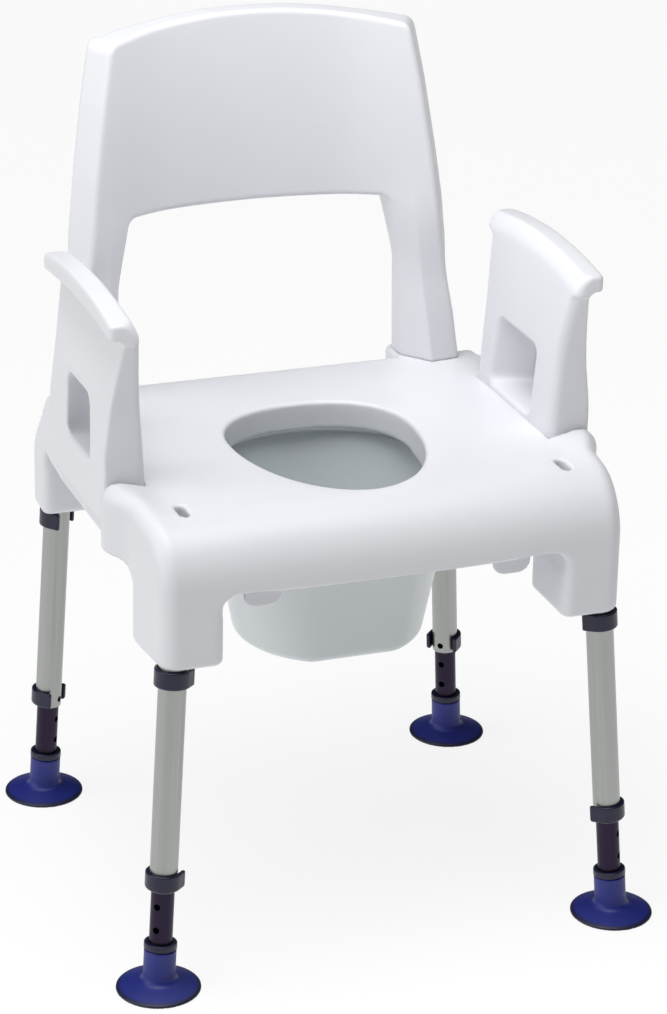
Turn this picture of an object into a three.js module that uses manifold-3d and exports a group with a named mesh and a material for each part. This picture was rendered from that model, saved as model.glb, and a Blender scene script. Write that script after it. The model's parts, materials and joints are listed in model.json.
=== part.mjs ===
// Shower and commode chair: a moulded seat on four telescopic legs with suction feet, a lift-off
// backrest, two lift-off armrests and a commode pan that slides out to the rear.
// Millimetres, +Z up, -Y is the front, X = 0 is the plane of symmetry. The origin is on the floor
// under the centre of the whole chair's box.
import * as THREE from 'three';
import { mergeVertices } from 'three/addons/utils/BufferGeometryUtils.js';
import Module from 'manifold-3d';

const wasm = await Module();
wasm.setup();

// ---- driving dimensions -------------------------------------------------------------------------
const FIT = 0.3; // gap between pieces that touch or slide
const PAST = 9; // how far a cutting tool runs past the surface that it cuts

const SEAT_HEIGHT = 480; // floor to seat top, legs as drawn
const POD_DROP = 139; // seat top down to the underside of the corner pods
const SEAT_WALL = 5;
const SEAT_FRONT_Y = -220;
const SEAT_BACK_Y = 196; // back edge at seat level
const SEAT_BACK_RAKE = 40; // how far the rear apron stands out at its lower edge
const APRON_DROP = 68;
const SIDE_APRON_DROP = 60;
const SIDE_HALF_WIDTH = 262; // the widest place, just in front of the armrests
const FRONT_HALF_WIDTH = SIDE_HALF_WIDTH - 22;
const BACK_HALF_WIDTH = SIDE_HALF_WIDTH - 14;
const WATERFALL_RUN = 66; // roll-over of the seat's front edge

const OPENING = { backY: 93, frontY: -150, halfWidth: 98, widestY: 6 };
const SKIRT = { drop: 36, wall: 5 };
const DRAIN = { x: FRONT_HALF_WIDTH - 40, y: SEAT_FRONT_Y + 68, length: 28, width: 10, depth: 12 };

const LEG = { tubeRadius: 14, tubeWall: 1.8, innerPlay: 0.5, innerWall: 1.6, socketWall: 4 };
const INNER_RADIUS = LEG.tubeRadius - LEG.tubeWall - LEG.innerPlay;
const PEG_HEIGHT = 116; // the height of the locking hole above the floor, along the leg
const HOLE = { pitch: 25, radius: 3.5, down: 2, up: 4 };
const TUBE_END_BELOW_PEG = 9;
const TUBE_TOP_BELOW_SEAT = 80;
const INNER_LEG_LENGTH = 276;
const CLIP = { wall: 4.1, height: 18, reach: 12, aboveTubeEnd: 1.5, belowPod: 2.5, pegRadius: 3.1 };
const FOOT = { radius: 42.55, rim: 2.2, neckWall: 4.25, neckHeight: 43.2, domeHeight: 13, floor: 10 };
const NECK_RADIUS = INNER_RADIUS + FIT + FOOT.neckWall;
const FOOT_LIP = { width: 5.5, hollow: 6 };
const RING = { height: 7.4, radius: NECK_RADIUS + 0.45 };
// Where each leg meets the underside of its pod, and how far its foot stands out from there.
const FRONT_LEG = {
  name: 'front', end: -1, podX: FRONT_HALF_WIDTH - 15.6, podY: SEAT_FRONT_Y + 19, outX: 22, outY: 21.5 };
const REAR_LEG = {
  name: 'rear', end: 1, podX: BACK_HALF_WIDTH - 26.1, podY: SEAT_BACK_Y + 21.4, outX: 18.1, outY: 5.1 };
const POD_FRONT = { inner: 47, outer: 4, toEnd: 6.5, along: 71 }; // walls outside the tube, and lengths
const POD_REAR = { inner: 42, outer: 3.5, toEnd: 3.5, along: 25 };

const ARM = { frontY: -84, backY: 112, padTop: SEAT_HEIGHT + 178, padDrop: 18, hook: 40 };
const ARM_INNER_X = SIDE_HALF_WIDTH - 48; // inner face at seat level
const ARM_NECK_X = SIDE_HALF_WIDTH - 19; // outer face just under the pad
const ARM_PAD_X = SIDE_HALF_WIDTH - 4.5; // outer edge of the pad
const ARM_WINDOW = { frontY: -30, backY: 70, low: 12, high: 82 }; // heights above the seat
const ARM_LEDGE = 3; // the seat is this much lower under the armrest
const ARM_PLUG = { x: SIDE_HALF_WIDTH - 30, halfWidth: 6, halfLength: 12, depth: 30, inset: 34 };

const BACK_PEAK = SEAT_HEIGHT + 388.5; // where the two slopes of the top edge would meet, before rounding
const BACK_CORNER = SEAT_HEIGHT + 358; // height of its top corners
const BACK_HALF_TOP = SIDE_HALF_WIDTH - 87;
const BACK_HALF_BASE = SIDE_HALF_WIDTH - 43;
const BACK_POST_INNER = SIDE_HALF_WIDTH - 104;
const BACK_OPENING = { top: SEAT_HEIGHT + 179, halfWidth: SIDE_HALF_WIDTH - 119 };
const BACK_CURVE = { radius: 480, depth: 30, midY: SEAT_BACK_Y + 39, lean: 0.062 };
const BACK_POST = { bulge: 20, ridgeX: SIDE_HALF_WIDTH - 76 };
const BACK_PLUG = { x: BACK_POST_INNER + 32, halfWidth: 16, y: SEAT_BACK_Y + 3, halfDepth: 9, depth: 40 };
// The corner of the seat that each post of the backrest stands on.
const BACK_LUG = {
  inner: BACK_POST_INNER - 3, outer: BACK_HALF_BASE + 5, frontY: SEAT_BACK_Y - 61, backY: SEAT_BACK_Y + 38 };

const PAN = { y: -20, topRadius: 130, baseRadius: 92, depth: 166, wall: 3, rimThick: 4 };
const PAN_RIM_HALF = PAN.topRadius + 16;
const PAN_RIM_GAP = 4; // below the skirt of the seat opening
const RAIL = {
  width: 40, wall: 4, ledge: 20, stopDrop: 93, backY: SEAT_BACK_Y - 46, frontY: SEAT_FRONT_Y + 26 };

// ---- materials ----------------------------------------------------------------------------------
const finish = (color, roughness, metalness = 0) =>
  new THREE.MeshStandardMaterial({ color, roughness, metalness });
const WHITE_PLASTIC = finish(0xe4e6ec, 0.42);
const PAN_PLASTIC = finish(0xc9cfd1, 0.38);
const ALUMINIUM = finish(0xa6a8a4, 0.36, 0.9);
const DARK_PLASTIC = finish(0x1c1b33, 0.45);
const BLUE_RUBBER = finish(0x2b3c96, 0.4);

// ---- solids -------------------------------------------------------------------------------------
const toSolid = (geometry) => {
  const bare = geometry.clone();
  bare.deleteAttribute('normal');
  bare.deleteAttribute('uv');
  const merged = mergeVertices(bare, 1e-4);
  const vertProperties = new Float32Array(merged.attributes.position.array);
  const triVerts = new Uint32Array(merged.index.array);
  return new wasm.Manifold(new wasm.Mesh({ numProp: 3, vertProperties, triVerts }));
};

const toGeometry = (solid) => {
  const { numProp, vertProperties, triVerts } = solid.getMesh();
  const position = new Float32Array((vertProperties.length / numProp) * 3);
  for (let i = 0; i < position.length / 3; i += 1) {
    for (let k = 0; k < 3; k += 1) position[3 * i + k] = vertProperties[i * numProp + k];
  }
  const geometry = new THREE.BufferGeometry();
  geometry.setAttribute('position', new THREE.BufferAttribute(position, 3));
  geometry.setIndex(new THREE.BufferAttribute(new Uint32Array(triVerts), 1));
  geometry.computeVertexNormals();
  return geometry;
};

const join = (...solids) => solids.reduce((all, next) => all.add(next));
const cut = (body, ...tools) => tools.reduce((left, tool) => left.subtract(tool), body);

// A closed outline whose corners are rounded; each point is [u, v] or [u, v, its own radius].
const outline = (points, radius = 0) => {
  const shape = new THREE.Shape();
  points.forEach(([u, v, own], index) => {
    const corner = new THREE.Vector2(u, v);
    const before = new THREE.Vector2(...points.at(index - 1).slice(0, 2));
    const after = new THREE.Vector2(...points[(index + 1) % points.length].slice(0, 2));
    const room = Math.min(corner.distanceTo(before), corner.distanceTo(after)) * 0.49;
    const reach = Math.min(own ?? radius, room);
    const start = before.sub(corner).setLength(reach).add(corner);
    const end = after.sub(corner).setLength(reach).add(corner);
    if (index === 0) shape.moveTo(start.x, start.y);
    else shape.lineTo(start.x, start.y);
    if (reach > 0) shape.quadraticCurveTo(u, v, end.x, end.y);
  });
  shape.closePath();
  return shape;
};

const mirrored = (points) => {
  const offAxis = points.filter(([u]) => u !== 0);
  return [...points, ...offAxis.map(([u, ...rest]) => [-u, ...rest]).reverse()];
};

// Extrusions of an outline: plan (x, y) upwards, side view (y, z) across X, front view (x, z) along Y.
const extrude = (shape, from, to, curveSegments = 5) => {
  const options = { depth: to - from, bevelEnabled: false, curveSegments };
  return new THREE.ExtrudeGeometry(shape, options).translate(0, 0, from);
};
const upwards = (shape, from, to, segments) => toSolid(extrude(shape, from, to, segments));
const SIDE_VIEW = new THREE.Matrix4().makeBasis(
  new THREE.Vector3(0, 1, 0), new THREE.Vector3(0, 0, 1), new THREE.Vector3(1, 0, 0));
const FRONT_VIEW = new THREE.Matrix4().makeBasis(
  new THREE.Vector3(1, 0, 0), new THREE.Vector3(0, 0, 1), new THREE.Vector3(0, -1, 0));
const across = (shape, from, to, segments) =>
  toSolid(extrude(shape, from, to, segments).applyMatrix4(SIDE_VIEW));
const along = (shape, from, to, segments) =>
  toSolid(extrude(shape, -to, -from, segments).applyMatrix4(FRONT_VIEW));

const rod = (radius, from, to, sides = 16) =>
  new THREE.CylinderGeometry(radius, radius, to - from, sides).rotateX(Math.PI / 2)
    .translate(0, 0, (from + to) / 2);
const turned = (profile, sides) => {
  const points = profile.map(([r, z]) => new THREE.Vector2(r, z));
  return new THREE.LatheGeometry(points, sides).rotateX(Math.PI / 2);
};
const box = (x0, x1, y0, y1, z0, z1) =>
  new THREE.BoxGeometry(x1 - x0, y1 - y0, z1 - z0)
    .translate((x0 + x1) / 2, (y0 + y1) / 2, (z0 + z1) / 2);

const chair = new THREE.Group();
const addPiece = (parent, name, solid, material) => {
  const mesh = new THREE.Mesh(toGeometry(solid), material);
  mesh.name = name;
  parent.add(mesh);
};

// ---- legs: each in a group with +Z up the leg's axis and +X outwards on the chair's diagonal -------
const POD_BOTTOM = SEAT_HEIGHT - POD_DROP;
const legs = [FRONT_LEG, REAR_LEG].flatMap((leg) => [-1, 1].map((side) => {
  const atPod = new THREE.Vector3(side * leg.podX, leg.podY, POD_BOTTOM);
  const foot = new THREE.Vector3(side * (leg.podX + leg.outX), leg.podY + leg.end * leg.outY, 0);
  const up = atPod.clone().sub(foot).normalize();
  const diagonal = new THREE.Vector3(side, leg.end, 0).normalize();
  const out = diagonal.addScaledVector(up, -diagonal.dot(up)).normalize();
  const frame = new THREE.Matrix4().makeBasis(out, up.clone().cross(out), up).setPosition(foot);
  const name = `${leg.name}_${side < 0 ? 'left' : 'right'}`;
  return { name, end: leg.end, frame, atPod, up };
}));

const legLength = (leg, height) => height / leg.up.z;
const tubeBottom = PEG_HEIGHT - TUBE_END_BELOW_PEG;
const tubeTop = (leg) => legLength(leg, SEAT_HEIGHT - TUBE_TOP_BELOW_SEAT);
const ringTop = FOOT.neckHeight + FIT + RING.height;

const pegHole = (height) =>
  toSolid(new THREE.CylinderGeometry(HOLE.radius, HOLE.radius, 4 * LEG.tubeRadius, 8)
    .rotateZ(Math.PI / 2).translate(0, 0, height));

const legTube = (leg) => {
  const skin = toSolid(rod(LEG.tubeRadius, tubeBottom, tubeTop(leg)));
  const bore = toSolid(rod(LEG.tubeRadius - LEG.tubeWall, tubeBottom - 1, tubeTop(leg) + 1));
  return cut(skin, bore, pegHole(PEG_HEIGHT));
};

const innerLegTop = FOOT.floor + FIT + INNER_LEG_LENGTH;
const legExtension = () => {
  const skin = toSolid(rod(INNER_RADIUS, FOOT.floor + FIT, innerLegTop));
  const bore = toSolid(rod(INNER_RADIUS - LEG.innerWall, FOOT.floor - 1, innerLegTop + 1));
  const steps = Array.from({ length: HOLE.down + HOLE.up + 1 }, (_, k) => k - HOLE.down);
  return cut(skin, bore, ...steps.map((step) => pegHole(PEG_HEIGHT + step * HOLE.pitch)));
};

// U-shaped snap clip, closed on the outer side, with two straight arms round the tube.
const clip = (bottom, peg) => {
  const inner = LEG.tubeRadius + FIT;
  const outer = inner + CLIP.wall;
  const loop = new THREE.Shape();
  loop.moveTo(-CLIP.reach, -outer);
  loop.lineTo(0, -outer);
  loop.absarc(0, 0, outer, -Math.PI / 2, Math.PI / 2, false);
  loop.lineTo(-CLIP.reach, outer);
  loop.lineTo(-CLIP.reach, inner);
  loop.lineTo(0, inner);
  loop.absarc(0, 0, inner, Math.PI / 2, -Math.PI / 2, true);
  loop.lineTo(-CLIP.reach, -inner);
  loop.closePath();
  const body = upwards(loop, bottom, bottom + CLIP.height, 8);
  if (!peg) return body;
  const pin = new THREE.CylinderGeometry(CLIP.pegRadius, CLIP.pegRadius, LEG.tubeWall + 2, 10);
  return body.add(toSolid(pin.rotateZ(Math.PI / 2).translate(inner + 1 - LEG.tubeWall / 2, 0, PEG_HEIGHT)));
};

const footRing = () => {
  const bottom = FOOT.neckHeight + FIT;
  const body = toSolid(rod(RING.radius, bottom, bottom + RING.height));
  return cut(body, toSolid(rod(INNER_RADIUS + FIT, bottom - 1, bottom + RING.height + 1)));
};

// Suction cup flat on the floor, with a neck along the leg that grips the inner leg.
const foot = (leg) => {
  const hollowEdge = FOOT.radius - FOOT_LIP.width;
  const cup = turned([
    [0, FOOT_LIP.hollow], [hollowEdge * 0.6, FOOT_LIP.hollow * 0.8], [hollowEdge, 0], [FOOT.radius, 0],
    [FOOT.radius, FOOT.rim], [FOOT.radius * 0.78, FOOT.rim + 2.6],
    [NECK_RADIUS + 6, FOOT.domeHeight - 3.5], [NECK_RADIUS + 1.5, FOOT.domeHeight + 1],
    [0, FOOT.domeHeight + 1]], 28);
  const level = new THREE.Matrix4().extractRotation(leg.frame).invert();
  const neck = toSolid(rod(NECK_RADIUS, FOOT.floor - 2, FOOT.neckHeight));
  const socket = toSolid(rod(INNER_RADIUS + FIT, FOOT.floor, FOOT.neckHeight + 20));
  return cut(join(toSolid(cup.applyMatrix4(level)), neck), socket);
};

for (const leg of legs) {
  const group = new THREE.Group();
  group.applyMatrix4(leg.frame);
  chair.add(group);
  const upperClipBottom = legLength(leg, POD_BOTTOM) - CLIP.belowPod - CLIP.height;
  addPiece(group, `leg_tube_${leg.name}`, legTube(leg), ALUMINIUM);
  addPiece(group, `leg_extension_${leg.name}`, legExtension(), DARK_PLASTIC);
  addPiece(group, `upper_clip_${leg.name}`, clip(upperClipBottom, false), DARK_PLASTIC);
  addPiece(group, `lower_clip_${leg.name}`, clip(tubeBottom + CLIP.aboveTubeEnd, true), DARK_PLASTIC);
  addPiece(group, `foot_ring_${leg.name}`, footRing(), DARK_PLASTIC);
  addPiece(group, `foot_${leg.name}`, foot(leg), BLUE_RUBBER);
}

// ---- seat shell -----------------------------------------------------------------------------------
const [, frontRight, , rearRight] = legs;

// Plan of the seat, shrunk by inset. The armrests sit in a step in its sides.
const seatPlan = (inset) => outline(mirrored([
  [0, SEAT_FRONT_Y + inset, 0], [FRONT_HALF_WIDTH - inset, SEAT_FRONT_Y + inset, 22],
  [FRONT_HALF_WIDTH + 7 - inset, SEAT_FRONT_Y + 85, 30], [SIDE_HALF_WIDTH - inset, ARM.frontY - 10, 10],
  [SIDE_HALF_WIDTH - inset, ARM.frontY - FIT - inset, 0],
  [SIDE_HALF_WIDTH - 12 - inset, ARM.frontY - FIT - inset, 0],
  [SIDE_HALF_WIDTH - 12 - inset, ARM.backY, 20], [BACK_HALF_WIDTH - inset, ARM.backY + 20, 20],
  [BACK_HALF_WIDTH - 6 - inset, SEAT_BACK_Y + SEAT_BACK_RAKE - inset, 30],
  [0, SEAT_BACK_Y + SEAT_BACK_RAKE - inset, 0]]));

// Side view of the seat: waterfall front edge, flat top, raked rear apron.
const SEAT_UNDER = POD_BOTTOM - 5;
const seatSide = (inset) => outline([
  [SEAT_FRONT_Y + inset, SEAT_UNDER, 0],
  [SEAT_FRONT_Y + inset, SEAT_HEIGHT - inset, WATERFALL_RUN - inset],
  [SEAT_BACK_Y - inset, SEAT_HEIGHT - inset, 12],
  [SEAT_BACK_Y + SEAT_BACK_RAKE - inset, SEAT_HEIGHT - APRON_DROP, 0],
  [SEAT_BACK_Y + SEAT_BACK_RAKE - inset, SEAT_UNDER, 0]]);

// Front view of the seat: rounded shoulders on both sides.
const seatFrontView = (inset) => outline(mirrored([
  [0, SEAT_HEIGHT - inset, 0], [SIDE_HALF_WIDTH + 4 - inset, SEAT_HEIGHT - inset, 26 - inset],
  [SIDE_HALF_WIDTH + 4 - inset, SEAT_UNDER, 0], [0, SEAT_UNDER, 0]]));

const roundedBlock = (inset) => across(seatSide(inset), -SIDE_HALF_WIDTH - PAST, SIDE_HALF_WIDTH + PAST, 6)
  .intersect(along(seatFrontView(inset), SEAT_FRONT_Y - PAST, SEAT_BACK_Y + SEAT_BACK_RAKE + PAST, 3));
const seatEnvelope = (inset, bottom) =>
  upwards(seatPlan(inset), bottom, SEAT_HEIGHT, 3).intersect(roundedBlock(inset));

// Egg-shaped seat opening, narrower at the front, grown by margin.
const openingOutline = (margin) => {
  const half = OPENING.halfWidth + margin;
  const back = OPENING.backY + margin;
  const front = OPENING.frontY - margin;
  const shape = new THREE.Shape();
  shape.moveTo(half, OPENING.widestY);
  shape.bezierCurveTo(half, back * 0.72, half * 0.6, back, 0, back);
  shape.bezierCurveTo(-half * 0.6, back, -half, back * 0.72, -half, OPENING.widestY);
  shape.bezierCurveTo(-half, front * 0.5, -half * 0.5, front, 0, front);
  shape.bezierCurveTo(half * 0.5, front, half, front * 0.5, half, OPENING.widestY);
  return shape;
};

const podPlan = (leg, pod, inset) => {
  const x = leg.atPod.x;
  const outer = x + LEG.tubeRadius + pod.outer - inset;
  const end = leg.atPod.y + leg.end * (LEG.tubeRadius + pod.toEnd - inset);
  const near = leg.atPod.y - leg.end * (pod.along - inset);
  return outline([
    [x - pod.inner + inset, end, 10], [outer, end, 14],
    [outer + 5, near, 12], [x - pod.inner + inset, near, 10]]);
};
const both = (solid) => join(solid, solid.mirror([1, 0, 0]));
const podColumn = (leg, pod, inset, from, to) =>
  both(upwards(podPlan(leg, pod, inset), from, to, 3));
const onLeg = (leg, geometry) => both(toSolid(geometry.applyMatrix4(leg.frame)));

const backPlugHole = (grow, from, to) => both(toSolid(box(
  BACK_PLUG.x - BACK_PLUG.halfWidth - grow, BACK_PLUG.x + BACK_PLUG.halfWidth + grow,
  BACK_PLUG.y - BACK_PLUG.halfDepth - grow, BACK_PLUG.y + BACK_PLUG.halfDepth + grow, from, to)));
const armPlugs = (grow, from, to) => join(...[ARM.frontY + ARM_PLUG.inset, ARM.backY - ARM_PLUG.inset]
  .map((y) => toSolid(box(
    ARM_PLUG.x - ARM_PLUG.halfWidth - grow, ARM_PLUG.x + ARM_PLUG.halfWidth + grow,
    y - ARM_PLUG.halfLength - grow, y + ARM_PLUG.halfLength + grow, from, to))));

const backLugs = (inset) => both(toSolid(box(
  BACK_LUG.inner + inset, BACK_LUG.outer - inset, BACK_LUG.frontY + inset, BACK_LUG.backY - inset,
  SEAT_HEIGHT - APRON_DROP, SEAT_HEIGHT - inset)));
const podEnvelope = (inset, from) => join(
  podColumn(frontRight, POD_FRONT, inset, from, SEAT_HEIGHT - 1),
  podColumn(rearRight, POD_REAR, inset, from, SEAT_HEIGHT - 1),
).intersect(roundedBlock(inset));

const seatShell = () => {
  const apronBottom = SEAT_HEIGHT - APRON_DROP;
  const skirtBottom = SEAT_HEIGHT - SKIRT.drop;
  const skin = join(seatEnvelope(0, apronBottom), podEnvelope(0, POD_BOTTOM), backLugs(0));
  const hollow = join(
    seatEnvelope(SEAT_WALL, apronBottom), podEnvelope(SEAT_WALL, POD_BOTTOM + SEAT_WALL),
    backLugs(SEAT_WALL));
  const sockets = [frontRight, rearRight].map((leg) => onLeg(leg, rod(
    LEG.tubeRadius + FIT + LEG.socketWall, legLength(leg, POD_BOTTOM + 2), tubeTop(leg) + SEAT_WALL)
  ).intersect(join(seatEnvelope(1, apronBottom), podEnvelope(1, POD_BOTTOM), backLugs(1))));
  const bores = [frontRight, rearRight].map((leg) => onLeg(leg, rod(
    LEG.tubeRadius + FIT, legLength(leg, POD_BOTTOM - 20), tubeTop(leg) + FIT)));
  const skirt = upwards(openingOutline(SKIRT.wall), skirtBottom, SEAT_HEIGHT - 2, 9);
  const backSockets = backPlugHole(3, SEAT_HEIGHT - BACK_PLUG.depth - 4, SEAT_HEIGHT - 3);
  const rearExit = toSolid(box(
    -PAN_RIM_HALF - 10, PAN_RIM_HALF + 10, 0, SEAT_BACK_Y + 60, SEAT_UNDER, skirtBottom + 4));
  const sideArch = toSolid(box(
    -SIDE_HALF_WIDTH - PAST, SIDE_HALF_WIDTH + PAST, frontRight.atPod.y + POD_FRONT.along,
    rearRight.atPod.y - POD_REAR.along, SEAT_UNDER, SEAT_HEIGHT - SIDE_APRON_DROP));
  const armLedges = both(toSolid(box(
    ARM_INNER_X - FIT, SIDE_HALF_WIDTH + PAST, ARM.frontY - FIT, ARM.backY + FIT,
    SEAT_HEIGHT - ARM_LEDGE, SEAT_HEIGHT + PAST)));
  const drain = both(toSolid(box(
    DRAIN.x - DRAIN.width / 2, DRAIN.x + DRAIN.width / 2,
    DRAIN.y - DRAIN.length / 2, DRAIN.y + DRAIN.length / 2, SEAT_HEIGHT - DRAIN.depth, SEAT_HEIGHT + PAST)));
  const shell = join(cut(skin, hollow), skirt, backSockets, ...sockets);
  return cut(shell, ...bores, upwards(openingOutline(0), SEAT_UNDER, SEAT_HEIGHT + PAST, 9),
    backPlugHole(FIT, SEAT_HEIGHT - BACK_PLUG.depth - FIT, SEAT_HEIGHT + PAST),
    both(armPlugs(FIT, SEAT_HEIGHT - 20, SEAT_HEIGHT + PAST)), rearExit, sideArch, armLedges, drain);
};
addPiece(chair, 'seat_shell', seatShell(), WHITE_PLASTIC);

// ---- armrests -------------------------------------------------------------------------------------
const armrest = () => {
  const foot = SEAT_HEIGHT - ARM_LEDGE + FIT;
  const low = SEAT_HEIGHT - ARM.hook;
  const top = ARM.padTop;
  const side = outline([
    [ARM.frontY, low, 14], [ARM.frontY, SEAT_HEIGHT + 110, 40], [ARM.frontY - 14, top - 24, 4],
    [ARM.frontY - 22, top - 20, 3], [ARM.frontY - 24, top - 2, 5], [ARM.frontY + 70, top + 4, 60],
    [ARM.backY - 40, top + 2, 40], [ARM.backY + 20, top - 8, 6], [ARM.backY + 18, top - 22, 6],
    [ARM.backY, top - 40, 30], [ARM.backY, low, 20]]);
  side.holes.push(outline([
    [ARM_WINDOW.frontY, SEAT_HEIGHT + ARM_WINDOW.low], [ARM_WINDOW.backY + 6, SEAT_HEIGHT + ARM_WINDOW.low],
    [ARM_WINDOW.backY, SEAT_HEIGHT + ARM_WINDOW.high],
    [ARM_WINDOW.frontY, SEAT_HEIGHT + ARM_WINDOW.high]], 14));
  const hookX = SIDE_HALF_WIDTH - 12 + FIT;
  const front = outline([
    [ARM_INNER_X, foot, 0], [hookX, foot, 0], [hookX, low, 0], [SIDE_HALF_WIDTH + 3, low, 4],
    [SIDE_HALF_WIDTH + 2, SEAT_HEIGHT - 5, 30], [ARM_NECK_X + 8, SEAT_HEIGHT + 105, 60],
    [ARM_NECK_X, top - 24, 6], [ARM_PAD_X, top - ARM.padDrop, 4], [ARM_PAD_X, top, 6],
    [ARM_INNER_X + 18, top + 6, 30], [ARM_INNER_X + 13, top - 12, 16], [ARM_INNER_X + 6, top - 60, 60]]);
  const body = across(side, ARM_INNER_X - 20, SIDE_HALF_WIDTH + 20, 5)
    .intersect(along(front, ARM.frontY - 60, ARM.backY + 60, 5));
  return body.add(armPlugs(0, SEAT_HEIGHT - ARM_PLUG.depth, foot + 2));
};
const rightArm = armrest();
addPiece(chair, 'armrest_right', rightArm, WHITE_PLASTIC);
addPiece(chair, 'armrest_left', rightArm.mirror([1, 0, 0]), WHITE_PLASTIC);

// ---- backrest -------------------------------------------------------------------------------------
const backrest = () => {
  const base = SEAT_HEIGHT + FIT;
  const { radius, depth, midY, lean } = BACK_CURVE;
  const widest = BACK_HALF_BASE + 20;
  const leanBack = new THREE.Matrix4().makeShear(0, 0, 0, 0, 0, lean)
    .setPosition(0, -lean * SEAT_HEIGHT, 0);
  const band = new THREE.Shape();
  const sweep = Math.asin(widest / radius);
  band.absarc(0, midY - radius, radius + depth / 2, Math.PI / 2 - sweep, Math.PI / 2 + sweep, false);
  band.absarc(0, midY - radius, radius - depth / 2, Math.PI / 2 + sweep, Math.PI / 2 - sweep, true);
  const wall = extrude(band, base, BACK_PEAK + 20, 12).applyMatrix4(leanBack);
  const contour = outline(mirrored([
    [0, BACK_PEAK, 90], [BACK_HALF_TOP, BACK_CORNER, 14], [BACK_HALF_BASE, base, 0],
    [BACK_POST_INNER, base, 0], [BACK_POST_INNER - 1, base + 100, 50],
    [BACK_OPENING.halfWidth, BACK_OPENING.top, 12], [0, BACK_OPENING.top, 0]]));
  const panel = toSolid(wall).intersect(along(contour, 0, 400, 6));
  const backOf = midY - radius + Math.sqrt(radius ** 2 - BACK_POST.ridgeX ** 2) + depth / 2;
  const postPlan = outline([
    [BACK_POST_INNER + 6, backOf, 8], [BACK_POST_INNER + 2, backOf - depth, 10],
    [BACK_POST.ridgeX, backOf - depth - BACK_POST.bulge, 14], [BACK_HALF_BASE - 3, backOf - depth, 10],
    [BACK_HALF_BASE - 6, backOf - 8, 8]]);
  const post = extrude(postPlan, base, BACK_OPENING.top + 20, 4);
  const positions = post.attributes.position;
  for (let i = 0; i < positions.count; i += 1) {
    if (positions.getZ(i) > BACK_OPENING.top) {
      positions.setX(i, positions.getX(i) - 14);
      positions.setY(i, Math.max(positions.getY(i), backOf - depth + 2) + 4);
    }
  }
  const posts = both(toSolid(post.applyMatrix4(leanBack)));
  const plugs = backPlugHole(0, SEAT_HEIGHT - BACK_PLUG.depth, base + 6);
  return join(panel, posts, plugs);
};
addPiece(chair, 'backrest', backrest(), WHITE_PLASTIC);

// ---- commode pan and its rails ----------------------------------------------------------------------
const panRimTop = SEAT_HEIGHT - SKIRT.drop - PAN_RIM_GAP;
const panRimBottom = panRimTop - PAN.rimThick;

const pan = () => {
  const { topRadius, baseRadius, wall } = PAN;
  const baseHeight = panRimTop - PAN.depth;
  const bowl = turned([
    [0, baseHeight], [baseRadius - 14, baseHeight], [baseRadius - 4, baseHeight + 4],
    [baseRadius + 3, baseHeight + 14], [topRadius, panRimTop], [topRadius - wall, panRimTop],
    [baseRadius - wall, baseHeight + 16], [baseRadius - 8 - wall, baseHeight + 5],
    [baseRadius - 16, baseHeight + wall], [0, baseHeight + wall]], 32).translate(0, PAN.y, 0);
  const reach = topRadius + 14;
  const flange = outline(mirrored([
    [0, PAN.y - reach, 0], [PAN_RIM_HALF - 26, PAN.y - reach, 30], [PAN_RIM_HALF, PAN.y - reach + 40, 30],
    [PAN_RIM_HALF, PAN.y + reach - 40, 30], [PAN_RIM_HALF - 26, PAN.y + reach, 30],
    [40, PAN.y + reach, 8], [30, PAN.y + reach + 22, 14], [0, PAN.y + reach + 22, 0]]));
  const hole = new THREE.Path();
  hole.absarc(0, PAN.y, topRadius - wall / 2, 0, 2 * Math.PI, true);
  flange.holes.push(hole);
  return toSolid(bowl).add(upwards(flange, panRimBottom, panRimTop, 6));
};
addPiece(chair, 'pan', pan(), PAN_PLASTIC);

const panRail = () => {
  const outer = PAN_RIM_HALF + FIT + RAIL.wall;
  const innerLow = outer - RAIL.width;
  const top = SEAT_HEIGHT - SEAT_WALL - FIT;
  const lowest = SEAT_HEIGHT - RAIL.stopDrop;
  const ledgeTop = panRimBottom - FIT;
  const web = toSolid(box(outer - RAIL.wall, outer, RAIL.frontY, RAIL.backY, ledgeTop - 20, top));
  const ledge = toSolid(box(
    outer - RAIL.ledge, outer - 1, RAIL.frontY + 1, RAIL.backY, ledgeTop - RAIL.wall, ledgeTop));
  const stop = along(outline([
    [innerLow, top, 0], [innerLow, lowest + 10, 12], [innerLow + 8, lowest, 10],
    [outer - 8, lowest, 10], [outer, lowest + 10, 12], [outer, top, 0]]),
  RAIL.frontY, RAIL.frontY + RAIL.wall, 4);
  return join(web, ledge, stop).intersect(seatEnvelope(SEAT_WALL + FIT, SEAT_UNDER));
};
const rightRail = panRail();
addPiece(chair, 'pan_rail_right', rightRail, WHITE_PLASTIC);
addPiece(chair, 'pan_rail_left', rightRail.mirror([1, 0, 0]), WHITE_PLASTIC);

// ---- the origin: on the floor, under the centre of the chair's box ---------------------------------
const extent = new THREE.Box3().setFromObject(chair, true);
const centre = extent.getCenter(new THREE.Vector3());
chair.position.set(-centre.x, -centre.y, -extent.min.z);

export default chair;
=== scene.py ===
"""Looks of a shower and commode chair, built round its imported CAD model.

Moulded pieces are described as rounded solids by signed distances in millimetres and meshed on a
grid; tubes are turned. Lengths are millimetres with +Z up and -Y to the front, measured from the
point on the floor midway between the four feet, until a mesh is placed in the frame in metres.
"""

import json
import logging
import math
from dataclasses import dataclass
from enum import Enum
from typing import Callable, Iterable

import bmesh
import bpy
import numpy as np
from mathutils import Matrix, Vector


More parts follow.
